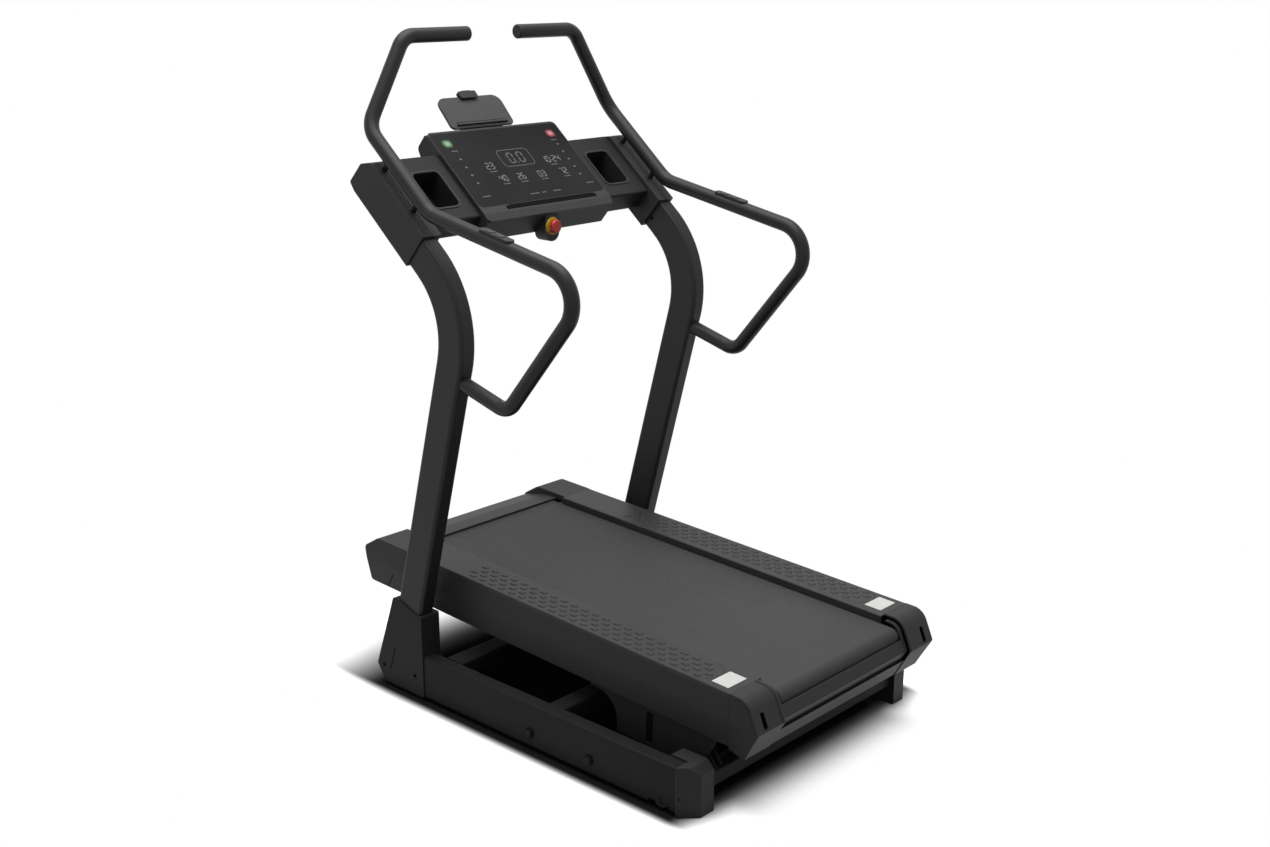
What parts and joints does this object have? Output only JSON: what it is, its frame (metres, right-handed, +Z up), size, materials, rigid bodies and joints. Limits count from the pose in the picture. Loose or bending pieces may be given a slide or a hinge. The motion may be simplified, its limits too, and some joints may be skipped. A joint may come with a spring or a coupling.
{
  "type": "treadmill",
  "caption": "Incline treadmill: a belt deck on a rear pivot over a floor frame, with bent uprights, wrap-round handlebars and a sloping console.",
  "frame": {"origin": "on the floor, under the middle of the treadmill's bounding box", "axes": "+X to the user's right, +Y the way the user faces, +Z up"},
  "size_m": [0.9298, 1.4052, 1.7413],
  "materials": {
    "black_paint": "satin black powder coat",
    "cover_plastic": "fine-grained charcoal plastic",
    "tread_plastic": "charcoal plastic with raised tread",
    "belt_fabric": "black woven-look running belt",
    "black_rubber": "black rubber",
    "bare_steel": "machined steel",
    "board": "phenolic-faced fibreboard",
    "screen_panel": "glossy black panel",
    "red_plastic": "red plastic",
    "yellow_plastic": "yellow plastic",
    "motor_grey": "dark grey motor casing",
    "inlet_plastic": "black moulded inlet",
    "key_plastic": "grey key"
  },
  "bodies": {
    "frame": {"base_rail_left": "black_paint", "base_rail_right": "black_paint", "base_crossbeams": "black_paint", "pivot_crossbeam": "black_paint", "rail_end_caps": "cover_plastic", "front_feet": "black_rubber", "boot_left": "cover_plastic", "boot_right": "cover_plastic", "upright_left": "black_paint", "upright_right": "black_paint", "upright_cover_left": "cover_plastic", "upright_cover_right": "cover_plastic", "handlebar_left": "black_paint", "handlebar_right": "black_paint", "handlebar_plugs": "black_rubber", "key_pods": "cover_plastic", "console_beam": "black_paint", "console_tray": "cover_plastic", "console_back": "cover_plastic", "console_face": "cover_plastic", "display_glass": "screen_panel", "estop_collar": "yellow_plastic", "tablet_rest": "cover_plastic", "hinge_pins": "bare_steel", "frame_bolts": "bare_steel"},
    "deck": {"side_frame_left": "black_paint", "side_frame_right": "black_paint", "deck_crossbeams": "black_paint", "deck_board": "board", "deck_cushions": "black_rubber", "running_belt": "belt_fabric", "foot_rail_left": "tread_plastic", "foot_rail_right": "tread_plastic", "side_panel_left": "cover_plastic", "side_panel_right": "cover_plastic", "pivot_shrouds": "cover_plastic", "front_cover": "cover_plastic", "end_cap_left": "cover_plastic", "end_cap_right": "cover_plastic", "rear_guard": "cover_plastic", "drive_motor": "motor_grey", "motor_controller": "motor_grey", "drive_belt": "black_rubber", "roller_axles": "bare_steel", "lift_pin": "bare_steel", "power_inlet": "inlet_plastic"},
    "front_roller": {"front_roller": "bare_steel"},
    "rear_roller": {"rear_roller": "bare_steel"},
    "motor_rotor": {"motor_rotor": "bare_steel"},
    "lift_motor": {"lift_motor": "motor_grey"},
    "lift_rod": {"lift_rod": "bare_steel"},
    "wheel_left": {"transport_wheel_left": "black_rubber"},
    "wheel_right": {"transport_wheel_right": "black_rubber"},
    "estop": {"estop_button": "red_plastic"},
    "tablet_clamp": {"tablet_clamp": "cover_plastic"},
    "incline_up_key": {"incline_up_key": "key_plastic"},
    "incline_down_key": {"incline_down_key": "key_plastic"},
    "speed_up_key": {"speed_up_key": "key_plastic"},
    "speed_down_key": {"speed_down_key": "key_plastic"},
    "power_switch": {"power_switch": "red_plastic"}
  },
  "joints": [
    {"name": "deck_incline", "type": "hinge", "parent": "frame", "child": "deck", "pos_m": [0, -0.48726, 0.135], "axis": [1, 0, 0], "range_deg": [-2.6, 19.2]},
    {"name": "lift_motor_swing", "type": "hinge", "parent": "frame", "child": "lift_motor", "pos_m": [0, -0.40726, 0.046], "axis": [1, 0, 0], "range_deg": [-2.6, 18.6]},
    {"name": "lift_screw", "type": "slide", "parent": "lift_motor", "child": "lift_rod", "axis": [0, 0.7585, 0.6516], "range_m": [-0.006, 0.0405]},
    {"name": "front_roller_spin", "type": "hinge", "parent": "deck", "child": "front_roller", "pos_m": [0, 0.5817, 0.31448], "axis": [1, 0, 0], "continuous": true},
    {"name": "rear_roller_spin", "type": "hinge", "parent": "deck", "child": "rear_roller", "pos_m": [0, -0.64903, 0.25859], "axis": [1, 0, 0], "continuous": true},
    {"name": "motor_spin", "type": "hinge", "parent": "deck", "child": "motor_rotor", "pos_m": [0, 0.64759, 0.27442], "axis": [1, 0, 0], "continuous": true},
    {"name": "wheel_left_spin", "type": "hinge", "parent": "frame", "child": "wheel_left", "pos_m": [-0.436, -0.48926, 0.028], "axis": [1, 0, 0], "continuous": true},
    {"name": "wheel_right_spin", "type": "hinge", "parent": "frame", "child": "wheel_right", "pos_m": [0.436, -0.48926, 0.028], "axis": [1, 0, 0], "continuous": true},
    {"name": "estop_press", "type": "slide", "parent": "frame", "child": "estop", "axis": [0, 1, 0], "range_m": [0, 0.004], "stiffness_N_per_m": 1500},
    {"name": "tablet_clamp_draw", "type": "slide", "parent": "frame", "child": "tablet_clamp", "axis": [0, 0.6691, 0.7431], "range_m": [0, 0.045], "stiffness_N_per_m": 150, "springref_m": -0.02},
    {"name": "incline_up_key_press", "type": "slide", "parent": "frame", "child": "incline_up_key", "axis": [0, 0.1872, -0.9823], "range_m": [0, 0.001], "stiffness_N_per_m": 800},
    {"name": "incline_down_key_press", "type": "slide", "parent": "frame", "child": "incline_down_key", "axis": [0, 0.1872, -0.9823], "range_m": [0, 0.001], "stiffness_N_per_m": 800},
    {"name": "speed_up_key_press", "type": "slide", "parent": "frame", "child": "speed_up_key", "axis": [0, 0.1872, -0.9823], "range_m": [0, 0.001], "stiffness_N_per_m": 800},
    {"name": "speed_down_key_press", "type": "slide", "parent": "frame", "child": "speed_down_key", "axis": [0, 0.1872, -0.9823], "range_m": [0, 0.001], "stiffness_N_per_m": 800},
    {"name": "power_switch_rock", "type": "hinge", "parent": "deck", "child": "power_switch", "pos_m": [-0.168, 0.69551, 0.2773], "axis": [1, 0, 0], "range_deg": [-16, 0]}
  ],
  "couplings": [
    {"joint": "lift_motor_swing", "follows": "deck_incline", "ratio": 0.9572},
    {"joint": "lift_screw", "follows": "deck_incline", "m_per_rad": 0.1184},
    {"joint": "rear_roller_spin", "follows": "front_roller_spin", "ratio": 1},
    {"joint": "motor_spin", "follows": "front_roller_spin", "ratio": 2}
  ]
}
